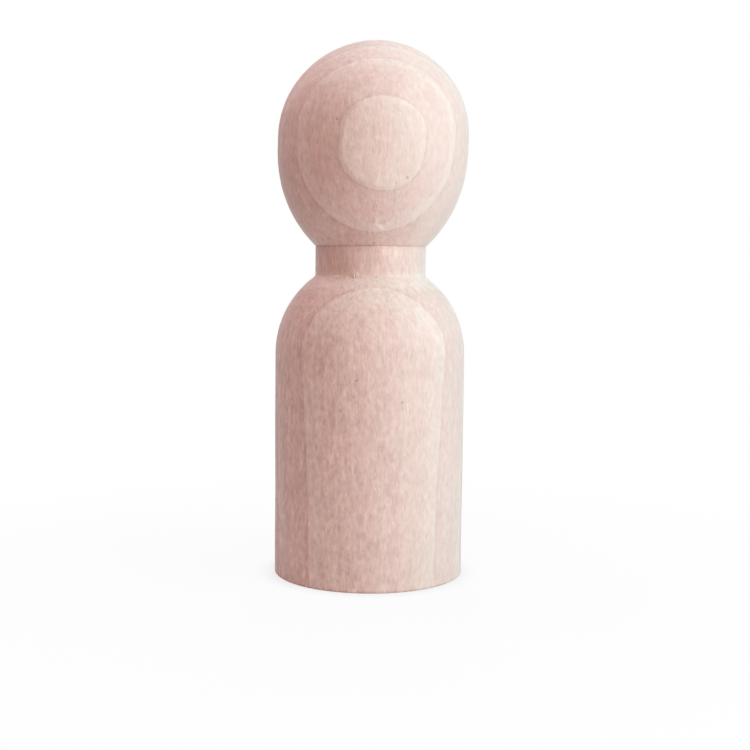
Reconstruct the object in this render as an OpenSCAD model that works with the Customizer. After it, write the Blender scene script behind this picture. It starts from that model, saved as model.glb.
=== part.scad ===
// A peg doll of turned wood. The head sits on the flat top of the neck and turns on a
// dowel, which is glued into the body. Sizes are in millimetres, +Z is up, and the
// origin is the centre of the base.

/* [Doll] */
// Overall height, from the base to the crown of the head
doll_h = 100; // [85:1:140]
// Width of the sanded bevel round the foot and round the top of the neck
edge_ease = 0.3; // [0.1:0.05:0.8]

/* [Body] */
// Diameter of the straight side, which is that of the round stock the doll is turned from
body_d = 35.8; // [30:0.1:44]
// Radius of the arc that rounds the shoulder
shoulder_r = 18.2; // [12:0.1:26]

/* [Neck] */
// Diameter of the neck, which is also the diameter of the head's flat seat
neck_d = 20.8; // [18:0.1:26]
// Height of the neck, from the shoulder line to the head's seat
neck_h = 5.6; // [3:0.1:12]

/* [Head] */
// How much slimmer than the body the head is at its widest, on the diameter
head_slim = 0.1; // [0:0.1:6]
// Height of the straight band between the crown and the jaw
band_h = 2.35; // [0.5:0.05:8]
// Height of the jaw, from the seat up to the straight band
jaw_h = 17.7; // [14:0.1:24]

/* [Dowel joint] */
// Diameter of the dowel
dowel_d = 10; // [6:0.5:12]
// Length of the dowel that stands up into the head
dowel_in_head = 16; // [10:1:22]
// Length of the dowel that is glued into the neck and body
dowel_in_body = 24; // [12:1:30]
// Bevel on both ends of the dowel
dowel_bevel = 1; // [0.4:0.1:2]
// Number of glue flutes round the glued end of the dowel
flute_count = 12; // [6:1:16]
// Radius of the cutter that makes a flute
flute_r = 0.6; // [0.3:0.05:0.9]
// Depth of a flute
flute_depth = 0.4; // [0.2:0.05:0.8]
// Plain length left between the flutes and the top of the neck
flute_land = 4; // [2:0.5:10]
// Radial gap in which the head turns on the dowel
turn_gap = 0.06; // [0.02:0.01:0.1]
// Radial gap that the glue fills round the dowel in the body
glue_gap = 0.05; // [0.02:0.01:0.1]
// Room between each end of the dowel and the bottom of its hole
end_room = 1; // [0.5:0.1:3]
// Bevel at the mouth of both dowel holes
mouth_bevel = 0.8; // [0.3:0.1:1.5]
// Included angle of the drill's point, in degrees
drill_angle = 118; // [90:1:150]

/* [Hidden] */
$fn = 128;

// How far a cutting shape runs past the face that it cuts
overshoot = 1;

body_r = body_d / 2;
neck_r = neck_d / 2;
head_r = (body_d - head_slim) / 2;
dowel_r = dowel_d / 2;

// The shoulder's arc is upright where it leaves the side, and ends at the neck
shoulder_in = body_r - neck_r;
shoulder_h = sqrt(shoulder_r ^ 2 - (shoulder_r - shoulder_in) ^ 2);
// The jaw's arc is upright where it leaves the band, and ends at the neck
jaw_in = head_r - neck_r;
jaw_r = (jaw_h ^ 2 + jaw_in ^ 2) / (2 * jaw_in);

// Heights above the base, from the crown down
crown_z = doll_h - head_r;
band_z = crown_z - band_h;
seat_z = band_z - jaw_h;
shoulder_top_z = seat_z - neck_h;
side_top_z = shoulder_top_z - shoulder_h;

dowel_top_z = seat_z + dowel_in_head;
dowel_foot_z = seat_z - dowel_in_body;

// The part of a disc, right of the axis, that lies between two heights
module arc_slice(centre, r, low, high) {
    intersection() {
        translate(centre) circle(r = r);
        translate([0, low]) square([centre.x + r, high - low]);
    }
}

// Half section of the body: eased foot, straight side, round shoulder and neck. The neck's
// block starts inside the shoulder, so that the two meet in one crisp corner.
module body_section() {
    polygon([
        [0, 0],
        [body_r - edge_ease, 0],
        [body_r, edge_ease],
        [body_r, side_top_z],
        [0, side_top_z]
    ]);
    arc_slice([body_r - shoulder_r, side_top_z], shoulder_r, side_top_z, seat_z);
    polygon([
        [0, side_top_z],
        [neck_r, side_top_z],
        [neck_r, seat_z - edge_ease],
        [neck_r - edge_ease, seat_z],
        [0, seat_z]
    ]);
}

// Half section of the head: jaw, straight band and domed crown
module head_section() {
    arc_slice([head_r - jaw_r, band_z], jaw_r, seat_z, band_z);
    translate([0, band_z]) square([head_r, band_h]);
    arc_slice([0, crown_z], head_r, crown_z, doll_h);
}

// Blind hole that runs up from its mouth at z = 0, with a bevelled mouth and the drill's pointed end
module dowel_hole(r, depth) {
    point_h = r / tan(drill_angle / 2);
    translate([0, 0, -overshoot]) cylinder(r = r, h = depth + overshoot);
    translate([0, 0, depth]) cylinder(r1 = r, r2 = 0, h = point_h);
    cylinder(r1 = r + mouth_bevel, r2 = r, h = mouth_bevel);
}

module body() {
    color([0.87, 0.74, 0.68])
    difference() {
        rotate_extrude() body_section();
        translate([0, 0, seat_z]) mirror([0, 0, 1])
            dowel_hole(dowel_r + glue_gap, dowel_in_body + end_room);
    }
}

module head() {
    color([0.90, 0.78, 0.71])
    difference() {
        rotate_extrude() head_section();
        translate([0, 0, seat_z])
            dowel_hole(dowel_r + turn_gap, dowel_in_head + end_room);
    }
}

module neck_dowel() {
    flute_h = dowel_in_body - flute_land;
    color([0.80, 0.62, 0.44])
    difference() {
        rotate_extrude() polygon([
            [0, dowel_foot_z],
            [dowel_r - dowel_bevel, dowel_foot_z],
            [dowel_r, dowel_foot_z + dowel_bevel],
            [dowel_r, dowel_top_z - dowel_bevel],
            [dowel_r - dowel_bevel, dowel_top_z],
            [0, dowel_top_z]
        ]);
        for (i = [0 : flute_count - 1])
            rotate([0, 0, i * 360 / flute_count])
                translate([dowel_r + flute_r - flute_depth, 0, dowel_foot_z - overshoot])
                    cylinder(r = flute_r, h = flute_h + overshoot);
    }
}

body();
head();
neck_dowel();
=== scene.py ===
"""The looks of a turned wooden peg doll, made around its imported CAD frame.

Lengths are in millimetres until a mesh, a material, a lamp or the camera is made. Heights are
measured from the base, and azimuths in degrees from the front, at -Y, to the viewer's right.
"""
import math

import bpy
import numpy as np
from mathutils import Matrix, Vector


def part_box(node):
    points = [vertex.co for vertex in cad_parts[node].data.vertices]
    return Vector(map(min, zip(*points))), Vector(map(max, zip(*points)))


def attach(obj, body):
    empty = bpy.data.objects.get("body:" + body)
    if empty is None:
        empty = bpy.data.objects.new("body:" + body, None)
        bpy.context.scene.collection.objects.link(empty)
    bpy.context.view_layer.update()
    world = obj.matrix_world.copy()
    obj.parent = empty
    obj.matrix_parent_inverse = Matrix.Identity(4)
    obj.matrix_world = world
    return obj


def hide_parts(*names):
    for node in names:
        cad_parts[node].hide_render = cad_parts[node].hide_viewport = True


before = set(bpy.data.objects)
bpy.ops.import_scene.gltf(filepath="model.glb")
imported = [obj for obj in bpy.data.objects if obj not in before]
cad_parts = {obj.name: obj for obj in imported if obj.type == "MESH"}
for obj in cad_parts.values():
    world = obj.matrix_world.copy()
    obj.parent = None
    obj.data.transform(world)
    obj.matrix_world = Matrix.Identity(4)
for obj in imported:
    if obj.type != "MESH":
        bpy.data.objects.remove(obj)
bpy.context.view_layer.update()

MM = 0.001


def box_mm(node):
    """Lowest and highest corner of a CAD node, in millimetres."""
    return [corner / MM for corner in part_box(node)]


# Main sizes, as the frame has them
_, body_high = box_mm("body")
_, head_high = box_mm("head")
dowel_low, dowel_high = box_mm("neck_dowel")
BODY_R = body_high.x
HEAD_R = head_high.x
DOWEL_R = dowel_high.x
SEAT_Z = body_high.z
TOP_Z = head_high.z

# Sizes that the boxes don't show
NECK_R = 10.4
NECK_H = 5.6
SHOULDER_R = 18.2
BAND_H = 2.35
EDGE_EASE = 0.3
TURN_GAP = 0.06
GLUE_GAP = 0.05
END_ROOM = 1
MOUTH_BEVEL = 0.8
DRILL_ANGLE = 118

# Reach of the soft inner corner where the shoulder meets the neck, and of the neck's worn rim
NECK_SOFT = 0.4
RIM_EASE = 0.15

# Heights and arcs that follow from them
CROWN_Z = TOP_Z - HEAD_R
BAND_Z = CROWN_Z - BAND_H
JAW_H = BAND_Z - SEAT_Z
JAW_IN = HEAD_R - NECK_R
JAW_R = (JAW_H ** 2 + JAW_IN ** 2) / (2 * JAW_IN)
SHOULDER_TOP_Z = SEAT_Z - NECK_H
SHOULDER_IN = BODY_R - NECK_R
SIDE_TOP_Z = SHOULDER_TOP_Z - math.sqrt(SHOULDER_R ** 2 - (SHOULDER_R - SHOULDER_IN) ** 2)

# Mesh steps along the profile, where the wood shows, inside the holes and at small corners, and
# the number of steps round it
SHOWN_STEP = 0.3
HIDDEN_STEP = 2
CORNER_STEP = 0.1
SIDES = 384
# Least angle, in degrees, between two faces that meet in a sharp edge
SHARP_ANGLE = 40
# How much of the texture's height a millimetre of hidden profile takes, against a shown one
HIDDEN_SHARE = 0.2

# The growth rings curve round an upright pith, which lies this far behind the doll's axis
PITH_BACK = 60
# Ring lines from the back to the front: the azimuth each faces, its depth in front of the axis as
# a curve over the height above the piece's foot, given by its start, slope and bow, and the height
# of the ridge that it leaves in the sanded wood
BODY_RINGS = [
    (3, (8, 0, -0.0016), 0.02),
    (3, (14.8, -0.003, -0.0006), 0.03),
    (3, (20, 0, 0), 0),
]
HEAD_RINGS = [
    (3, (2, 0.26, -0.002), 0.02),
    (2.8, (12.8, -0.0265, 0.0005), 0.04),
    (5.4, (17.37, -0.0925, 0.00325), 0.3),
]
# Depth of wood over which a ridge falls to about a third, behind its line and in front of it
RIDGE_BACK = 0.5
RIDGE_FRONT = 1.1
# Spacing of the other ring lines
RING_SPACING = 5.6

# Unevenness of the turned and sanded surface, and of the rings: height and length of its waves
HAND_WAVE = (0.04, 16)
TOOL_WAVE = (0.004, 2.2)
RING_WAVER = (0.08, 9)
# Number of sine waves that are added up to one random ripple
RIPPLE_WAVES = 12
# Length over which the unevenness fades out at the ends of the shown surface
END_FADE = 1
# How far the crown of the head leans to the right of the neck, and the power of the height with
# which the lean grows
CROWN_LEAN = 0.85
LEAN_POWER = 1.5

# Marks on the wood: azimuth, height, half width, half length, slant of the length to the right
# in degrees, and shade, from -1 for a dark pit to 1 for pale torn fibres
BODY_MARKS = [
    (-7.5, 38.3, 0.26, 0.26, 0, -0.9),
    (19.0, 34.4, 0.24, 0.26, -30, -0.7),
    (52.5, 18.6, 0.2, 0.35, 0, -0.5),
    (3.6, 22.4, 0.13, 0.5, 0, -0.45),
    (1.3, 21.9, 0.15, 0.5, 0, 0.6),
    (-10.7, 23.2, 0.16, 1.1, 2, -0.45),
    (-9.0, 22.4, 0.16, 0.9, 2, 0.5),
    (-16.3, 36.6, 0.14, 0.7, 0, -0.5),
    (-8.9, 40.7, 0.3, 0.5, 0, 0.5),
]
HEAD_MARKS = [
    (-52.0, 93.0, 0.4, 0.35, 0, -0.5),
    (-21.3, 83.9, 0.24, 0.28, 0, -0.9),
    (20.6, 74.0, 0.32, 0.26, 30, -1.0),
    (14.5, 73.0, 0.24, 0.16, 20, -0.4),
    (8.0, 79.4, 0.12, 0.5, 0, -0.3),
    (3.2, 62.6, 0.2, 0.3, 0, -0.7),
    (3.6, 66.7, 0.24, 0.8, -16, 0.8),
    (7.0, 65.4, 0.42, 1.15, -50, 1.0),
    (2.3, 65.8, 0.3, 0.6, 60, 0.3),
    # Painted shadow: the dark mark just under the chip's pale raised fibres
    (8.6, 65.0, 0.2, 0.7, -55, -0.5),
]
# Height and change of tone of a mark of shade 1, and how far a mark reaches into the wood
MARK_LIFT = 0.08
MARK_TONE = 0.4
MARK_DEPTH = 3
# Squared distance from a mark's middle, in its half sizes, where its shade starts and is full
MARK_EDGE = 1.8
MARK_CORE = 0.1
# Bands round the wood: height, reach up and down, and change of tone
BODY_BANDS = [
    # Painted shade: a darker band along the foot, where the doll's eased edge meets the floor
    (0, 0.55, -0.24),
    (SHOULDER_TOP_Z - 0.9, 2.2, 0.23),
    # Painted shade: a darker band at the seam, where the head overhangs the neck
    (SEAT_Z, 0.7, -0.08),
]
HEAD_BANDS = [
    # Painted shade: a darker band at the seam, where the head overhangs the neck
    (SEAT_Z, 0.9, -0.04),
    (TOP_Z, 8, 0.06),
]
# Share of a band's reach that has its full change of tone, and waver of the band's height
BAND_CORE = 0.2
BAND_WAVER = 0.8
# Strength of the figure, which is the mottle of fibres, pores and flecks in the wood
BODY_FIGURE = 1.3
HEAD_FIGURE = 1.0


def line(start, stop, step):
    """Points from start to stop, both included, no further apart than a step."""
    count = max(1, math.ceil(math.dist(start, stop) / step))
    return np.linspace(start, stop, count + 1)


def arc(centre, radius, start, stop, step):
    """Points along an arc, whose angles are in degrees from outwards towards up."""
    span = abs(math.radians(stop - start)) * radius
    angles = np.radians(np.linspace(start, stop, max(1, math.ceil(span / step)) + 1))
    return np.array(centre) + radius * np.column_stack([np.cos(angles), np.sin(angles)])


def bend(start, corner, stop, step):
    """Points along a smooth curve that cuts a corner."""
    count = max(2, math.ceil(math.dist(start, stop) / step))
    t = np.linspace(0, 1, count + 1)[:, None]
    start, corner, stop = np.array([start, corner, stop])
    return (1 - t) ** 2 * start + 2 * t * (1 - t) * corner + t ** 2 * stop


def join(stretches):
    """One path from stretches that meet end to end."""
    return np.vstack([stretches[0]] + [stretch[1:] for stretch in stretches[1:]])


def dowel_hole(radius, mouth_z, depth, up):
    """Profile of a blind hole with a bevelled mouth and a drill's point, from its mouth inwards."""
    sign = 1 if up else -1
    point = radius / math.tan(math.radians(DRILL_ANGLE / 2))
    lip = (radius + MOUTH_BEVEL, mouth_z)
    throat = (radius, mouth_z + sign * MOUTH_BEVEL)
    bottom = (radius, mouth_z + sign * depth)
    tip = (0, mouth_z + sign * (depth + point))
    corners = [lip, throat, bottom, tip]
    return [line(start, stop, HIDDEN_STEP) for start, stop in zip(corners, corners[1:])]


def body_path():
    """Half section of the body in three parts: its base, what shows of it, and its seat and hole."""
    foot_r = BODY_R - EDGE_EASE
    shoulder = (BODY_R - SHOULDER_R, SIDE_TOP_Z)
    neck_angle = math.degrees(math.acos((NECK_R - shoulder[0]) / SHOULDER_R))
    soft_angle = neck_angle - math.degrees(NECK_SOFT / SHOULDER_R)
    dome = arc(shoulder, SHOULDER_R, 0, soft_angle, SHOWN_STEP)
    neck_foot = (NECK_R, SHOULDER_TOP_Z + NECK_SOFT)
    rim = (NECK_R - RIM_EASE, SEAT_Z - RIM_EASE)
    hole = dowel_hole(DOWEL_R + GLUE_GAP, SEAT_Z, SEAT_Z - dowel_low.z + END_ROOM, up=False)
    base = line((0, 0), (foot_r, 0), HIDDEN_STEP)
    shown = join([
        arc((foot_r, EDGE_EASE), EDGE_EASE, -90, 0, CORNER_STEP),
        line((BODY_R, EDGE_EASE), (BODY_R, SIDE_TOP_Z), SHOWN_STEP),
        dome,
        bend(dome[-1], (NECK_R, SHOULDER_TOP_Z), neck_foot, CORNER_STEP),
        line(neck_foot, (NECK_R, rim[1]), SHOWN_STEP),
        arc(rim, RIM_EASE, 0, 90, CORNER_STEP),
    ])
    seat = line((rim[0], SEAT_Z), hole[0][0], HIDDEN_STEP)
    return base, shown, join([seat] + hole)


def head_path():
    """Half section of the head in three parts: its hole and seat, what shows of it, and its top."""
    jaw = (HEAD_R - JAW_R, BAND_Z)
    seat_angle = -math.degrees(math.asin(JAW_H / JAW_R))
    hole = dowel_hole(DOWEL_R + TURN_GAP, SEAT_Z, dowel_high.z - SEAT_Z + END_ROOM, up=True)
    inside = join([stretch[::-1] for stretch in hole[::-1]])
    seat = line(hole[0][0], (NECK_R, SEAT_Z), HIDDEN_STEP)
    shown = join([
        arc(jaw, JAW_R, seat_angle, 0, SHOWN_STEP),
        line((HEAD_R, BAND_Z), (HEAD_R, CROWN_Z), SHOWN_STEP),
        arc((0, CROWN_Z), HEAD_R, 0, 90, SHOWN_STEP),
    ])
    return join([inside, seat]), shown, shown[-1:]


def ripple(points, length, seed):
    """Smooth random waves of about the given length, mostly between -1 and 1."""
    draw = np.random.default_rng(seed)
    total = np.zeros(points.shape[:-1])
    for _ in range(RIPPLE_WAVES):
        way = draw.normal(size=3)
        way *= 2 * math.pi / length / np.linalg.norm(way)
        total += np.sin(points @ way + draw.uniform(0, 2 * math.pi))
    return total / math.sqrt(2 * RIPPLE_WAVES)


def add(name, data):
    """A new object in the scene that shows a mesh, a light or a camera."""
    piece = bpy.data.objects.new(name, data)
    bpy.context.collection.objects.link(piece)
    return piece


class Turning:
    """A piece turned round Z.

    Its half section comes in three parts, of which the middle one shows.
    """

    def __init__(self, name, parts, rings, marks, bands, figure, lean=0):
        self.name = name
        self.path = join([part for part in parts if len(part) > 1])
        self.profile = parts[1]
        self.rings = rings
        self.marks = marks
        self.bands = bands
        self.figure = figure
        self.lean = lean
        first = len(parts[0]) - 1
        self.shown = np.zeros(len(self.path), bool)
        self.shown[first:first + len(self.profile)] = True

    def shift(self, z):
        """How far the piece leans to the right at a height."""
        rise = np.clip((z - SEAT_Z) / (TOP_Z - SEAT_Z), 0, 1)
        return self.lean * rise ** LEAN_POWER

    def past_ring(self, points, ring):
        """How far points lie in front of a ring line."""
        azimuth, curve, _ = ring
        face = math.radians(azimuth)
        x, y, z = np.moveaxis(points, -1, 0)
        front = x * math.sin(face) - y * math.cos(face)
        side = x * math.cos(face) + y * math.sin(face)
        depth = np.hypot(front + PITH_BACK, side) - PITH_BACK
        depth += RING_WAVER[0] * ripple(points, RING_WAVER[1], seed=3)
        return depth - np.polynomial.polynomial.polyval(z - self.profile[0, 1], curve)

    def growth(self, points):
        """Years of growth at points: 0, 1 and 2 at the listed ring lines, whole numbers at the others."""
        past = [self.past_ring(points, ring) for ring in self.rings]
        years = past[0] / RING_SPACING
        for number, (inner, outer) in enumerate(zip(past, past[1:])):
            years = np.where(inner > 0, number + inner / (inner - outer), years)
        return np.where(past[-1] > 0, len(past) - 1 + past[-1] / RING_SPACING, years)

    def mark_axes(self, mark):
        """A mark's place on the wood, and its axes across, along and out, each divided by its reach."""
        azimuth, height, half_width, half_length, slant, _ = mark
        heights = [height, height + half_length]
        radius, above = np.interp(heights, self.profile[:, 1], self.profile[:, 0])
        angle = math.radians(azimuth)
        turn = math.radians(slant)
        out = np.array([math.sin(angle), -math.cos(angle), 0])
        right = np.array([math.cos(angle), math.sin(angle), 0])
        up = (above - radius) * out + np.array([0, 0, half_length])
        up /= np.linalg.norm(up)
        across = math.cos(turn) * right - math.sin(turn) * up
        along = math.sin(turn) * right + math.cos(turn) * up
        place = radius * out + (self.shift(height), 0, height)
        return place, np.array([across / half_width, along / half_length, out / MARK_DEPTH])

    def lift(self, points):
        """How far the wood stands out from the smooth turned shape."""
        total = HAND_WAVE[0] * ripple(points, HAND_WAVE[1], seed=5)
        total += TOOL_WAVE[0] * np.sin(points[..., 2] * 2 * math.pi / TOOL_WAVE[1])
        for ring in self.rings:
            past = self.past_ring(points, ring)
            total += ring[-1] * np.exp(-np.maximum(past / RIDGE_FRONT, -past / RIDGE_BACK))
        for mark in self.marks:
            place, axes = self.mark_axes(mark)
            away = (points - place) @ axes.T
            total += MARK_LIFT * mark[-1] * np.exp(-(away ** 2).sum(axis=-1))
        return total

    def vertices(self):
        """The first point of the path, rings of points round the axis, and the last point."""
        tangent = np.gradient(self.path, axis=0)
        tangent /= np.linalg.norm(tangent, axis=1)[:, None]
        normal = np.column_stack([tangent[:, 1], -tangent[:, 0]])
        angle = math.pi / 2 + np.arange(SIDES) * 2 * math.pi / SIDES
        compass = np.stack([np.cos(angle), np.sin(angle)], axis=-1)

        def revolve(profile):
            flat = profile[1:-1, None, 0, None] * compass[None]
            upright = np.broadcast_to(profile[1:-1, 1, None, None], flat.shape[:2] + (1,))
            return np.concatenate([flat, upright], axis=-1)

        steps = np.linalg.norm(np.diff(self.path, axis=0), axis=1)
        length = np.concatenate([[0], np.cumsum(steps)])
        start, stop = length[self.shown][[0, -1]]
        keep = np.clip(np.minimum(length - start, stop - length) / END_FADE, 0, 1)[1:-1, None]
        points = revolve(self.path)
        points[..., 0] += np.where(self.shown[1:-1, None], self.shift(points[..., 2]), 0)
        points = points + (self.lift(points) * keep)[..., None] * revolve(normal)
        first, last = self.path[0, 1], self.path[-1, 1]
        tip = self.shift(last) if self.shown[-1] else 0
        return np.vstack([[(0, 0, first)], points.reshape(-1, 3), [(tip, 0, last)]])

    def build(self):
        """The piece's mesh, with its texture map and its years of growth."""
        verts = self.vertices()
        rings = len(self.path) - 2
        final = len(verts) - 1

        def index(ring, side):
            return 1 + ring * SIDES + side % SIDES

        length = np.linalg.norm(np.diff(self.path, axis=0), axis=1)
        length *= np.where(self.shown[:-1] & self.shown[1:], 1, HIDDEN_SHARE)
        v = np.concatenate([[0], np.cumsum(length)]) / length.sum()

        faces = []
        coords = []
        for side in range(SIDES):
            u0, u1 = side / SIDES, (side + 1) / SIDES
            middle = (u0 + u1) / 2
            faces.append((0, index(0, side + 1), index(0, side)))
            coords += [(middle, v[0]), (u1, v[1]), (u0, v[1])]
            for ring in range(rings - 1):
                above = ring + 1
                corners = [(ring, side), (ring, side + 1), (above, side + 1), (above, side)]
                faces.append([index(*corner) for corner in corners])
                low, high = v[ring + 1], v[ring + 2]
                coords += [(u0, low), (u1, low), (u1, high), (u0, high)]
            faces.append((index(rings - 1, side), index(rings - 1, side + 1), final))
            coords += [(u0, v[-2]), (u1, v[-2]), (middle, v[-1])]

        mesh = bpy.data.meshes.new(self.name)
        mesh.from_pydata((verts * MM).tolist(), [], faces)
        texture_map = mesh.uv_layers.new(name="OFBake")
        texture_map.data.foreach_set("uv", np.array(coords, float).ravel())
        years = mesh.attributes.new("growth", "FLOAT", "POINT")
        years.data.foreach_set("value", self.growth(verts))
        mesh.shade_smooth()
        mesh.set_sharp_from_angle(angle=math.radians(SHARP_ANGLE))
        return add(self.name, mesh)


class Shader:
    """Makes the nodes of one material or world.

    Their inputs are numbers, colours or the outputs of other nodes.
    """

    def __init__(self, tree):
        self.tree = tree
        self.tree.nodes.clear()

    def node(self, kind, inputs, output=0, **settings):
        """One output of a new node, after its settings and inputs are filled in."""
        made = self.tree.nodes.new("ShaderNode" + kind)
        for key, value in settings.items():
            setattr(made, key, value)
        for key, value in inputs.items():
            if isinstance(value, bpy.types.NodeSocket):
                self.tree.links.new(value, made.inputs[key])
            else:
                made.inputs[key].default_value = value
        return made.outputs[output]

    def math(self, operation, *values):
        """The result of one operation on numbers."""
        return self.node("Math", dict(enumerate(values)), operation=operation)

    def sum(self, *values):
        """All the values added up."""
        total = values[0]
        for value in values[1:]:
            total = self.math("ADD", total, value)
        return total

    def scaled(self, value, factor, offset=0.0):
        """The value times a factor, plus an offset."""
        return self.math("MULTIPLY_ADD", value, factor, offset)

    def centred(self, noise, strength):
        """Noise as a change to both sides of 0."""
        return self.scaled(noise, strength, -strength / 2)

    def between(self, value, low, high):
        """0 at low and 1 at high, with a smooth step between them."""
        limits = {"Value": value, "From Min": low, "From Max": high}
        return self.node("MapRange", limits, interpolation_type="SMOOTHSTEP")

    def ramp(self, value, stops):
        """A colour ramp through stops of a position and a colour, or a grey level."""
        colour = self.node("ValToRGB", {"Fac": value})
        elements = colour.node.color_ramp.elements
        while len(elements) < len(stops):
            elements.new(1)
        for element, (position, shade) in zip(elements, stops):
            element.position = position
            element.color = shade + (1,) if isinstance(shade, tuple) else (shade, shade, shade, 1)
        return colour

    def mix(self, factor, first, second, blend="MIX"):
        """Two colours mixed, or the second laid over the first by a blend."""
        # The node has sockets for each type of data: colours go in at 6 and 7, and come out at 2
        inputs = {0: factor, 6: first, 7: second}
        return self.node("Mix", inputs, output=2, data_type="RGBA", blend_type=blend)

    def place(self):
        """The point on the piece, in metres."""
        return self.node("TexCoord", {}, output="Object")

    def grain(self, point, across, along, seed, detail=2):
        """Noise in the wood, whose marks have a width across the grain and a length along it."""
        size = (1 / (across * MM), 1 / (across * MM), 1 / (along * MM))
        inputs = {0: point, 1: size, 2: (seed, seed, seed)}
        place = self.node("VectorMath", inputs, operation="MULTIPLY_ADD")
        return self.node("TexNoise", {"Vector": place, "Scale": 1, "Detail": detail, "Roughness": 0.6})

    def marks(self, point, turning):
        """The shade of the marks on a turned piece, 0 away from them."""
        total = 0.0
        for mark in turning.marks:
            place, axes = turning.mark_axes(mark)
            away = self.node("VectorMath", {0: point, 1: place * MM}, operation="SUBTRACT")
            square = 0.0
            for axis in axes:
                inputs = {0: away, 1: axis / MM}
                share = self.node("VectorMath", inputs, output="Value", operation="DOT_PRODUCT")
                square = self.math("MULTIPLY_ADD", share, share, square)
            total = self.scaled(self.between(square, MARK_EDGE, MARK_CORE), mark[-1], total)
        return total

    def bands(self, height, bands):
        """The change of tone by bands round a piece."""
        total = 0.0
        for middle, reach, shade in bands:
            away = self.math("ABSOLUTE", self.sum(height, -middle * MM))
            inside = self.between(away, reach * MM, BAND_CORE * reach * MM)
            total = self.scaled(inside, shade, total)
        return total

    def end(self, shader, kind="ShaderNodeOutputMaterial"):
        """Links a shader to the output of the material or the world."""
        self.tree.links.new(shader, self.tree.nodes.new(kind).inputs["Surface"])

    def surface(self, colour, rough, relief, depth, strength, specular):
        """Ends the material with a surface whose relief is as deep as given, in millimetres."""
        bump = self.node("Bump", {"Strength": strength, "Distance": depth * MM, "Height": relief})
        self.end(self.node("BsdfPrincipled", {
            "Base Color": colour,
            "Roughness": rough,
            "Normal": bump,
            "Specular IOR Level": specular,
        }))


def new_material(name):
    """A material that is made of nodes."""
    material = bpy.data.materials.new(name)
    material.use_nodes = True
    return material


# Tone of a year's growth from its pale start to the dark line at its end, and how far the fibres
# jag that line, in years
RING_TONE = [
    (0.0, 0.63),
    (0.18, 0.62),
    (0.3, 0.55),
    (0.45, 0.53),
    (0.8, 0.52),
    (0.92, 0.5),
    (0.96, 0.45),
    (0.985, 0.45),
    (1.0, 0.63),
]
RING_JAG = 0.02
# Colours of the wood from its darkest pores to its palest fibres
PALE_WOOD = [
    (0.0, (0.45, 0.30, 0.24)),
    (0.3, (0.66, 0.505, 0.435)),
    (0.52, (0.77, 0.62, 0.54)),
    (0.64, (0.795, 0.69, 0.60)),
    (1.0, (0.91, 0.83, 0.765)),
]
# Casts that the colours of the wood are multiplied by, at the left and at the right. Besides their random
# patches, the darker pink at the shaded left is painted shade and the paler straw at the lit right is
# painted light
PINK_CAST_AND_SHADE = (1.02, 0.925, 0.935, 1)
STRAW_CAST_AND_LIGHT = (0.99, 1.06, 1.055, 1)
# Tone of plain wood between the ring lines
MAIN_TONE = 0.53
# Shares of the figure that change the tone, and with it the hue, and that only change the lightness
FIGURE_HUE = 0.42
FIGURE_SHADE = 0.36
# The figure and the ring lines are painted stronger on the shaded left and fainter on the lit right, as
# painted shade and light over the wood's grain: where the change starts and ends, and the strength of the
# figure and of the ring lines on either side of it
LIT_SIDE_X = 14
SHADED_SIDE_X = -10
LIT_SIDE_FIGURE = 0.6
SHADED_SIDE_FIGURE = 1.35
LIT_SIDE_RING = 0.9
SHADED_SIDE_RING = 1.5
# Share of the straw cast at the axis, its change for each millimetre to the right, how far that goes on,
# and how much it varies in patches. The change to the right is painted light and shade: paler straw on
# the lit right, darker pink on the shaded left
CAST_MIDDLE = 0.5
PAINTED_LIGHT_SLOPE = 0.025
PAINTED_LIGHT_LIMIT = 10
CAST_PATCH = 0.7


def wood_cast_and_painted_shading(wood, point, across):
    """The cast of the pale wood, which varies in patches and turns from pink at the left to straw at the
    right: that turn is painted shade at the left and painted light at the right.
    """
    patch = wood.grain(point, across=3, along=9, seed=5)
    to_right = wood.math("MINIMUM", across, PAINTED_LIGHT_LIMIT * MM)
    straw = wood.sum(
        CAST_MIDDLE,
        wood.centred(patch, CAST_PATCH),
        wood.scaled(to_right, PAINTED_LIGHT_SLOPE / MM),
    )
    return wood.mix(straw, PINK_CAST_AND_SHADE, STRAW_CAST_AND_LIGHT)


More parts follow.
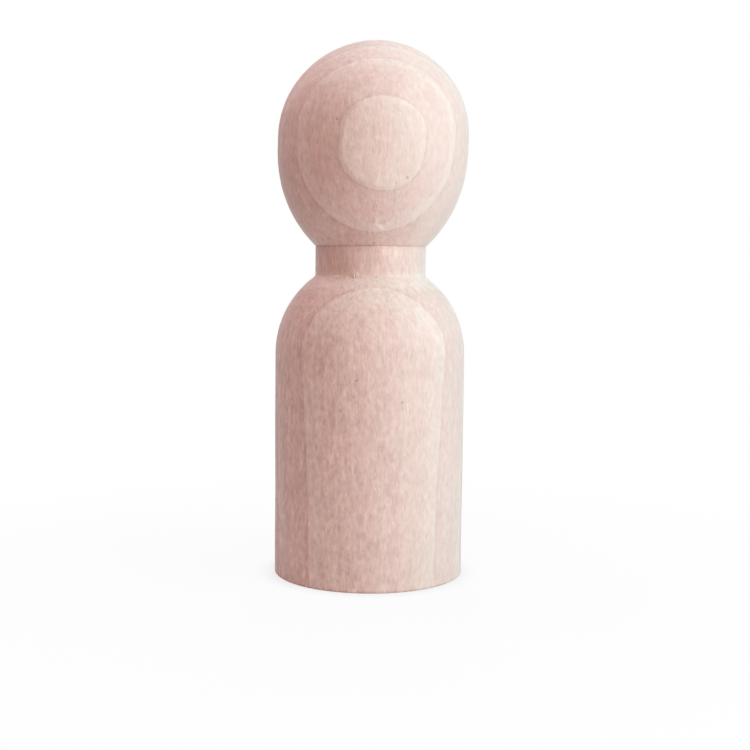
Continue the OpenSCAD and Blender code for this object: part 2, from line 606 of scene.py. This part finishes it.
def pale_hardwood(turning):
    """Bare, sanded hardwood with growth rings, fibres, pores and flecks that run through it."""
    material = new_material(turning.name + "_wood")
    wood = Shader(material.node_tree)
    point = wood.place()
    across = wood.node("SeparateXYZ", {"Vector": point}, output="X")
    height = across.node.outputs["Z"]
    years = wood.node("Attribute", {}, output="Fac", attribute_name="growth")
    grain = wood.grain(point, across=0.9, along=1.6, seed=1)
    fibre = wood.grain(point, across=0.5, along=4, seed=2, detail=1)
    streak = wood.grain(point, across=1.2, along=25, seed=3)
    mottle = wood.grain(point, across=4, along=8, seed=4)
    pore = wood.between(wood.grain(point, across=0.5, along=1.3, seed=6, detail=1), low=0.52, high=0.72)
    fleck = wood.between(wood.grain(point, across=0.55, along=1.7, seed=7, detail=1), low=0.5, high=0.7)

    # Painted shade and light: the figure and ring lines grow stronger towards the shaded left and fainter
    # towards the lit right
    painted_shade_contrast = wood.between(across, LIT_SIDE_X * MM, SHADED_SIDE_X * MM)
    ring_strength = wood.scaled(painted_shade_contrast, SHADED_SIDE_RING - LIT_SIDE_RING, LIT_SIDE_RING)
    figure_strength = wood.scaled(
        painted_shade_contrast,
        (SHADED_SIDE_FIGURE - LIT_SIDE_FIGURE) * turning.figure,
        LIT_SIDE_FIGURE * turning.figure,
    )
    mixture = wood.sum(
        wood.centred(grain, strength=0.55),
        wood.centred(fibre, strength=0.1),
        wood.centred(streak, strength=0.16),
        wood.centred(mottle, strength=0.25),
        wood.scaled(pore, factor=-0.08),
        wood.scaled(fleck, factor=0.1),
    )
    figure = wood.math("MULTIPLY", mixture, figure_strength)
    share_of_year = wood.math("FRACT", wood.sum(years, wood.centred(fibre, RING_JAG)))
    ring = wood.sum(wood.ramp(share_of_year, RING_TONE), -MAIN_TONE)
    wavering = wood.sum(height, wood.centred(grain, BAND_WAVER * MM))
    tone = wood.sum(
        MAIN_TONE,
        wood.math("MULTIPLY", ring, ring_strength),
        wood.scaled(figure, FIGURE_HUE),
        wood.scaled(wood.marks(point, turning), MARK_TONE),
        wood.bands(wavering, turning.bands),
    )
    # The cast lays painted shade on the left and painted light on the right
    plain = wood.mix(1, wood.ramp(tone, PALE_WOOD), wood_cast_and_painted_shading(wood, point, across), blend="MULTIPLY")
    colour = wood.mix(1, plain, wood.scaled(figure, FIGURE_SHADE, 1), blend="MULTIPLY")
    relief = wood.sum(
        grain,
        wood.scaled(fibre, factor=0.15),
        wood.scaled(pore, factor=-0.2),
        wood.scaled(fleck, factor=0.2),
    )
    rough = wood.scaled(grain, factor=0.2, offset=0.48)
    wood.surface(colour, rough, relief, depth=0.07, strength=1, specular=0.4)
    return material


# Colours of beech from its flecks to its palest wood, and its tone between them
BEECH = [
    (0.0, (0.30, 0.15, 0.08)),
    (0.5, (0.56, 0.34, 0.20)),
    (1.0, (0.74, 0.53, 0.36)),
]
BEECH_TONE = 0.5


def beech(name):
    """Planed beech of the dowel, with its short dark flecks."""
    material = new_material(name)
    wood = Shader(material.node_tree)
    point = wood.place()
    fine = wood.grain(point, across=0.3, along=6, seed=11, detail=3)
    streak = wood.grain(point, across=1.6, along=40, seed=12)
    fleck = wood.between(wood.grain(point, across=0.3, along=1.4, seed=13, detail=1), low=0.62, high=0.74)
    tone = wood.sum(
        BEECH_TONE,
        wood.centred(fine, strength=0.4),
        wood.centred(streak, strength=0.4),
        wood.scaled(fleck, factor=-0.25),
    )
    relief = wood.sum(wood.scaled(fine, factor=0.6), wood.scaled(fleck, factor=-0.4))
    rough = wood.scaled(fine, factor=0.2, offset=0.45)
    wood.surface(wood.ramp(tone, BEECH), rough, relief, depth=0.05, strength=0.3, specular=0.4)
    return material


# Slivers torn up along the foot of the neck, and a tuft of longer ones among them: their number,
# the azimuths that they lie between, and their least and greatest length
SLIVER_GROUPS = [
    (22, (-46, 16), (0.3, 0.8)),
    (5, (-16, -13), (1.2, 2.0)),
]
# Width of a sliver, and how far its tip leans to the side and outwards, as a share of its length
SLIVER_WIDTH = (0.2, 0.34)
SLIVER_SIDE_LEAN = (-0.4, 0.4)
SLIVER_OUT_LEAN = (0.05, 0.4)
# Shares of a sliver's length at which it has a ring of four corners, below its tip
SLIVER_LEVELS = (0, 0.4, 0.75)


def sliver(azimuth, length, width, side_lean, out_lean):
    """Corners and faces of a pointed sliver that grows out of the shoulder at the foot of the neck."""
    angle = math.radians(azimuth)
    out = np.array([math.sin(angle), -math.cos(angle), 0])
    right = np.array([math.cos(angle), math.sin(angle), 0])
    up = np.array([0, 0, 1])
    lean = side_lean * right + out_lean * out
    root = (NECK_R + width) * out + (SHOULDER_TOP_Z - width) * up
    around = [-right, out, right, -out]
    corners = []
    for share in SLIVER_LEVELS:
        middle = root + length * (share * up + share ** 2 * lean)
        half = width * (1 - share) / 2
        corners += [middle + half * way for way in around]
    tip = len(corners)
    corners.append(root + length * (up + lean))

    sides = len(around)
    last = tip - sides
    faces = [tuple(reversed(range(sides)))]
    for k in range(sides):
        after = (k + 1) % sides
        for low in range(0, last, sides):
            high = low + sides
            faces.append((low + k, low + after, high + after, high + k))
        faces.append((last + k, last + after, tip))
    return corners, faces


def torn_fibres():
    """The slivers that the lathe tool tore up where the shoulder meets the neck."""
    draw = np.random.default_rng(7)
    verts = []
    faces = []
    for count, span, lengths in SLIVER_GROUPS:
        for _ in range(count):
            ranges = [span, lengths, SLIVER_WIDTH, SLIVER_SIDE_LEAN, SLIVER_OUT_LEAN]
            corners, sides = sliver(*[draw.uniform(*limits) for limits in ranges])
            faces += [tuple(len(verts) + k for k in side) for side in sides]
            verts += corners
    mesh = bpy.data.meshes.new("torn_fibres")
    mesh.from_pydata((np.array(verts) * MM).tolist(), [], faces)
    return add("torn_fibres", mesh)


# Tone of freshly torn wood, among the colours of the pale wood
TORN_TONE = 0.72


def torn_wood():
    """Raw, pale fibres of freshly torn wood."""
    material = new_material("torn_wood")
    wood = Shader(material.node_tree)
    point = wood.place()
    fibre = wood.grain(point, across=0.08, along=0.6, seed=21, detail=3)
    tone = wood.sum(TORN_TONE, wood.centred(fibre, strength=0.3))
    rough = wood.scaled(fibre, factor=0.2, offset=0.6)
    wood.surface(wood.ramp(tone, PALE_WOOD), rough, fibre, depth=0.02, strength=0.5, specular=0.2)
    return material


def dress(piece, body_name, material):
    """Gives a piece of the pale wood its material, and makes it move with a body."""
    piece.data.materials.append(material)
    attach(piece, body_name)


body_turning = Turning(
    "turned_body", body_path(), BODY_RINGS, BODY_MARKS, BODY_BANDS, BODY_FIGURE,
)
body = body_turning.build()
dress(body, "body", pale_hardwood(body_turning))
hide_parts("body")

head_turning = Turning(
    "turned_head", head_path(), HEAD_RINGS, HEAD_MARKS, HEAD_BANDS, HEAD_FIGURE, lean=CROWN_LEAN,
)
head = head_turning.build()
dress(head, "head", pale_hardwood(head_turning))
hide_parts("head")

dress(torn_fibres(), "body", torn_wood())

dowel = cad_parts["neck_dowel"]
dowel.data.materials.clear()
dowel.data.materials.append(beech("dowel_beech"))

# Radius of the floor, its paint, and the plain white of the background
FLOOR_R = 400
FLOOR_PAINT = (0.7, 0.7, 0.7, 1)
WHITE = (1, 1, 1, 1)
# How white the floor shows by itself: distance from the middle, at the doll's foot, near it and away
# from it, and share of plain white
FLOOR_GLOW = [(18, 0.75), (21, 0.93), (120, 1.0)]


def seen(shader):
    """1 for rays from the camera and from gloss or glass, 0 for rays that only carry light."""
    camera_ray = shader.node("LightPath", {}, output="Is Camera Ray")
    path = camera_ray.node
    gloss = shader.math("MAXIMUM", camera_ray, path.outputs["Is Glossy Ray"])
    return shader.math("MAXIMUM", gloss, path.outputs["Is Transmission Ray"])


def floor_paint():
    """Pale paint that fades into the white background."""
    material = new_material("floor_paint")
    paint = Shader(material.node_tree)
    away = paint.node("VectorMath", {0: paint.place()}, output="Value", operation="LENGTH")
    far = FLOOR_GLOW[-1][0]
    stops = [(radius / far, level) for radius, level in FLOOR_GLOW]
    glow = paint.ramp(paint.scaled(away, 1 / (far * MM)), stops)
    share = paint.math("MULTIPLY", glow, seen(paint))
    matt = paint.node("BsdfDiffuse", {"Color": FLOOR_PAINT})
    white = paint.node("Emission", {"Color": WHITE, "Strength": 1})
    paint.end(paint.node("MixShader", {0: share, 1: matt, 2: white}))
    return material


def floor():
    """The round floor that the doll stands on, and that keeps its shadow."""
    angles = np.linspace(0, 2 * math.pi, SIDES, endpoint=False)
    rim = np.column_stack([np.cos(angles), np.sin(angles), np.zeros(SIDES)]) * FLOOR_R * MM
    mesh = bpy.data.meshes.new("floor")
    mesh.from_pydata(rim.tolist(), [], [tuple(range(SIDES))])
    mesh.materials.append(floor_paint())
    add("floor", mesh)


# Light from all round
AMBIENT = (0.01, 0.01, 0.01, 1)


def sky():
    """Faint light from all round, which shows as plain white behind the doll."""
    world = bpy.data.worlds.new("studio")
    world.use_nodes = True
    bpy.context.scene.world = world
    studio = Shader(world.node_tree)
    light = studio.node("Background", {"Color": AMBIENT, "Strength": 1})
    white = studio.node("Background", {"Color": WHITE, "Strength": 1})
    both = studio.node("MixShader", {0: seen(studio), 1: light, 2: white})
    studio.end(both, "ShaderNodeOutputWorld")


# Soft round lamps: place, diameter, power in watts and colour
LAMPS = {
    "key": ((262, -151, 165), 200, 0.85, (0.79, 0.92, 1)),
    "overhead": ((0, 0, 500), 400, 0.88, (0.83, 0.89, 1)),
    "front": ((0, -350, 420), 300, 0.5, (1, 1, 0.95)),
    "side": ((-300, 150, 400), 300, 0.56, (1, 0.62, 0.68)),
    "bounce": ((0, -450, 100), 300, 0.43, (1, 0.2, 0.06)),
    "back": ((0, 350, 130), 100, 0.66, (1, 0.93, 0.9)),
}


def lamp(name, place, size, power, colour):
    """A soft round lamp, aimed at the neck."""
    light = bpy.data.lights.new(name, "AREA")
    light.shape = "DISK"
    light.size = size * MM
    light.energy = power
    light.color = colour
    piece = add(name, light)
    piece.location = Vector(place) * MM
    aim = Vector((0, 0, SEAT_Z)) * MM - piece.location
    piece.rotation_euler = aim.to_track_quat("-Z", "Y").to_euler()
    piece.visible_camera = False


# Place of the camera, its angles in degrees, and its lens and sensor
CAMERA_PLACE = (0, -237.4, 59.26)
CAMERA_PITCH = 5.18
CAMERA_YAW = -0.25
CAMERA_ROLL = 0.55
CAMERA_LENS = 60.07
CAMERA_SENSOR = 36


def camera():
    """The camera at the photograph's viewing angle."""
    lens = bpy.data.cameras.new("camera")
    lens.sensor_width = CAMERA_SENSOR
    lens.lens = CAMERA_LENS
    piece = add("camera", lens)
    yaw = Matrix.Rotation(math.radians(CAMERA_YAW), 4, "Z")
    pitch = Matrix.Rotation(math.radians(90 - CAMERA_PITCH), 4, "X")
    roll = Matrix.Rotation(math.radians(CAMERA_ROLL), 4, "Z")
    piece.matrix_world = Matrix.Translation(Vector(CAMERA_PLACE) * MM) @ yaw @ pitch @ roll
    bpy.context.scene.camera = piece


floor()
sky()
for name, settings in LAMPS.items():
    lamp(name, *settings)
camera()
bpy.context.scene.view_settings.view_transform = "Standard"
